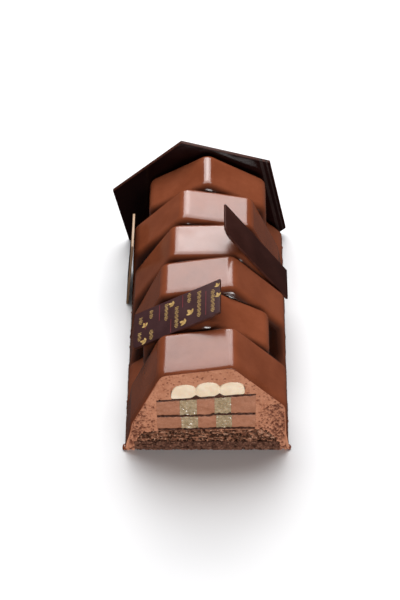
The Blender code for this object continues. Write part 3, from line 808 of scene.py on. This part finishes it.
def add_painted_reflection_bands(plate):
    """Two paler bands of painted reflection along the plate's right edge, from its top right corner
    down.
    """
    high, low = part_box("back_plate")[1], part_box("back_plate")[0]
    points = [v.co for v in plate.data.vertices if v.co.x > high.x - 14.0 * MM]
    top = max(points, key=lambda p: p.z)
    side = max(points, key=lambda p: p.x)
    inward = Vector((side.z - top.z, 0.0, top.x - side.x)).normalized()
    bm = bmesh.new()
    bm.from_mesh(plate.data)
    for first, last in PAINTED_REFLECTION_BANDS:
        for distance in (first, last):
            bmesh.ops.bisect_plane(bm, geom=bm.verts[:] + bm.edges[:] + bm.faces[:], dist=0.000001,
                                   plane_co=side + inward * distance * MM, plane_no=inward)
    for face in bm.faces:
        depth = (face.calc_center_median() - side).dot(inward) / MM
        if any(first < depth < last for first, last in PAINTED_REFLECTION_BANDS):
            face.material_index = 2
    bm.to_mesh(plate.data)
    bm.free()
    plate.data.materials.append(FINISHES["painted_reflection"])


def make_plates():
    # the paler edges of the back plate, right plaque and printed plaque are a painted highlight
    plate = plate_copy("standing_plate", "back_plate", "dark_chocolate", "painted_edge_highlight",
                       0.3)
    add_painted_reflection_bands(plate)
    plate_copy("right_side_plaque", "right_plaque", "satin_chocolate", "painted_edge_highlight",
               0.2)
    plate_copy("left_side_plaque", "left_plaque", "satin_chocolate", "pale_edge",
               0.2)
    plate_copy("print_plaque", "printed_plaque", "printed_chocolate", "painted_edge_highlight",
               0.2)


def plaque_frame():
    """Turns (along the log, down the face, above the plaque) into a point of the part."""
    corner = Vector((0.0, 0.0, CENTRE_HEIGHT + PEAK_RADIUS))
    side = Vector((-PEAK_HALF_WIDTH, 0.0, CENTRE_HEIGHT + PEAK_RADIUS / 2))
    down = (side - corner).normalized()
    out = down.cross(Vector((0.0, 1.0, 0.0)))
    if out.z < 0:
        out = -out
    start = corner + out * (GAP + PLAQUE_THICKNESS)
    return lambda along, reach, lift: ORIGIN + MM * (start + Vector((0, along, 0)) + down * reach
                                                     + out * lift)


def add_bar(bm, along, reach, length, width):
    """Flat bar: its length runs down the face and its width along the log."""
    made = bmesh.ops.create_grid(bm, x_segments=1, y_segments=1, size=0.5)
    for vert in made["verts"]:
        vert.co = Vector((along + vert.co.y * width, reach + vert.co.x * length, 0.0))


def add_leaf(bm, along, reach, length, turn):
    """Flat pointed leaf that grows from its place in the direction of the turn."""
    made = bmesh.ops.create_circle(bm, cap_ends=True, segments=12, radius=0.5)
    angle = math.radians(turn)
    for vert in made["verts"]:
        t = vert.co.x + 0.5
        side = vert.co.y * 0.62 * (1.0 - 0.45 * t)
        run, off = t * length, side * length
        vert.co = Vector((along + run * math.cos(angle) - off * math.sin(angle),
                          reach + run * math.sin(angle) + off * math.cos(angle), 0.0))


def make_beads():
    """Small beads of glaze that ran out at the two front corners and at the foot."""
    rng = random.Random(11)
    bm = bmesh.new()
    spots = [(side * (FOOT_HALF_WIDTH - 0.2), 1.4, 1.5) for side in (-1, 1)]
    for side in (-1, 1):
        spots += [(side * (FOOT_HALF_WIDTH - 0.3), rng.uniform(6.0, LOG_LENGTH - 4.0),
                   rng.uniform(0.4, 0.6)) for _ in range(5)]
    for x, y, size in spots:
        made = bmesh.ops.create_icosphere(bm, subdivisions=3, radius=1.0)
        stretch = size * rng.uniform(1.0, 2.4)
        for vert in made["verts"]:
            bump = 1.0 + 0.12 * noise.noise(vert.co * 1.7 + Vector((x, y, 0.0)))
            lift = max(vert.co.z * 0.9, -0.75) + 0.75
            vert.co = place(x + vert.co.x * size * 0.8 * bump, y + vert.co.y * stretch * bump,
                            lift * size * 0.8)
    piece = new_piece("glaze_beads", bm, "glaze", [])
    return piece


def print_layer(name, bm, finish, point):
    """Give flat print shapes their thickness and lay them on the plaque."""
    sides = bmesh.ops.extrude_face_region(bm, geom=bm.faces[:])
    for item in sides["geom"]:
        if isinstance(item, bmesh.types.BMVert):
            item.co.z = PRINT_THICKNESS
    for vert in bm.verts:
        vert.co = point(vert.co.x, vert.co.y, vert.co.z - 0.01)
    bmesh.ops.recalc_face_normals(bm, faces=bm.faces[:])
    new_piece(name, bm, finish, [], smooth=False)


def make_print():
    """Generic gold sprigs, rows of small bars, and thin red lines."""
    point = plaque_frame()
    gold = bmesh.new()
    for reach, first, last, height in PRINT_ROWS:
        count = int((last - first) / PRINT_PITCH)
        for number in range(count + 1):
            length = height * (1.0 if number % 3 else 0.55)
            add_bar(gold, first + number * PRINT_PITCH, reach, length, 0.34)
    for along, reach, size, turn in PRINT_SPRIGS:
        for spread, share in ((-52, 0.75), (0, 1.0), (52, 0.75)):
            add_leaf(gold, along, reach, size * share, turn + spread)
        add_bar(gold, along - 0.1 * size, reach, 0.3, 0.5)
    print_layer("gold_print", gold, "gold", point)
    red = bmesh.new()
    for reach, first, last in PRINT_LINES:
        add_bar(red, (first + last) / 2, reach, 0.28, last - first)
    print_layer("red_print", red, "red", point)


# ---------------------------------------------------------------- the stage

def area_light(name, spot, target, size, power):
    data = bpy.data.lights.new(name, "AREA")
    data.shape = "RECTANGLE"
    data.size, data.size_y = size
    data.energy = power
    light = bpy.data.objects.new(name, data)
    bpy.context.collection.objects.link(light)
    light.location = spot
    light.rotation_euler = (Vector(target) - Vector(spot)).to_track_quat("-Z", "Y").to_euler()


def flagged(tree, colour, ray, other):
    """A colour that is another one for one kind of ray, as flags make it in a studio."""
    path = tree.nodes.new("ShaderNodeLightPath")
    pick = tree.nodes.new("ShaderNodeMix")
    pick.data_type = "RGBA"
    if isinstance(colour, tuple):
        pick.inputs["A"].default_value = (*colour, 1.0)
    else:
        link(tree, colour, pick.inputs["A"])
    pick.inputs["B"].default_value = (*other, 1.0)
    link(tree, path.outputs[ray], pick.inputs["Factor"])
    return pick.outputs["Result"]


def make_stage():
    bm = bmesh.new()
    bmesh.ops.create_grid(bm, x_segments=1, y_segments=1, size=2.5)
    mesh = bpy.data.meshes.new("floor")
    bm.to_mesh(mesh)
    bm.free()
    floor = bpy.data.objects.new("floor", mesh)
    material = bpy.data.materials.new("white_table")
    material.use_nodes = True
    tree = material.node_tree
    shader = tree.nodes["Principled BSDF"]
    shader.inputs["Roughness"].default_value = 0.9
    shader.inputs["Specular IOR Level"].default_value = 0.0
    bounce = flagged(tree, FLOOR_LIGHT, "Is Glossy Ray", FLOOR_IN_GLOSS)
    link(tree, flagged(tree, bounce, "Is Camera Ray", FLOOR_SEEN), shader.inputs["Base Color"])
    mesh.materials.append(material)
    bpy.context.collection.objects.link(floor)
    world = bpy.data.worlds.new("studio")
    bpy.context.scene.world = world
    world.use_nodes = True
    tree = world.node_tree
    light = flagged(tree, WORLD_LIGHT, "Is Glossy Ray", WORLD_IN_GLOSS)
    seen = flagged(tree, light, "Is Camera Ray", WORLD_SEEN)
    link(tree, seen, tree.nodes["Background"].inputs["Color"])
    for name, elevation, azimuth, distance, size, power in LIGHTS:
        lift, turn = math.radians(elevation), math.radians(azimuth)
        spot = (distance * math.cos(lift) * math.sin(turn),
                distance * math.cos(lift) * math.cos(turn), distance * math.sin(lift))
        area_light(name, spot, LIGHT_TARGET, size, power)


def make_camera():
    pitch, yaw, roll = (math.radians(a) for a in (CAMERA_PITCH, CAMERA_YAW, CAMERA_ROLL))
    forward = Vector((math.sin(yaw) * math.cos(pitch), math.cos(yaw) * math.cos(pitch),
                      -math.sin(pitch)))
    level = Vector((math.cos(yaw), -math.sin(yaw), 0.0))
    up = level.cross(forward)
    right = level * math.cos(roll) + up * math.sin(roll)
    up = up * math.cos(roll) - level * math.sin(roll)
    turned = Matrix((right, up, -forward)).transposed()
    data = bpy.data.cameras.new("camera")
    data.lens = CAMERA_LENS
    data.sensor_width = 36.0
    data.clip_start = 0.01
    camera = bpy.data.objects.new("camera", data)
    bpy.context.collection.objects.link(camera)
    camera.matrix_world = Matrix.Translation(place(*CAMERA_PLACE)) @ turned.to_4x4()
    bpy.context.scene.camera = camera


bpy.context.scene.view_settings.view_transform = "Standard"
make_camera()
make_stage()
make_glaze()
make_mousse()
make_cream()
make_sheets()
make_strips()
make_sponge_and_base()
make_plates()
make_print()
make_beads()
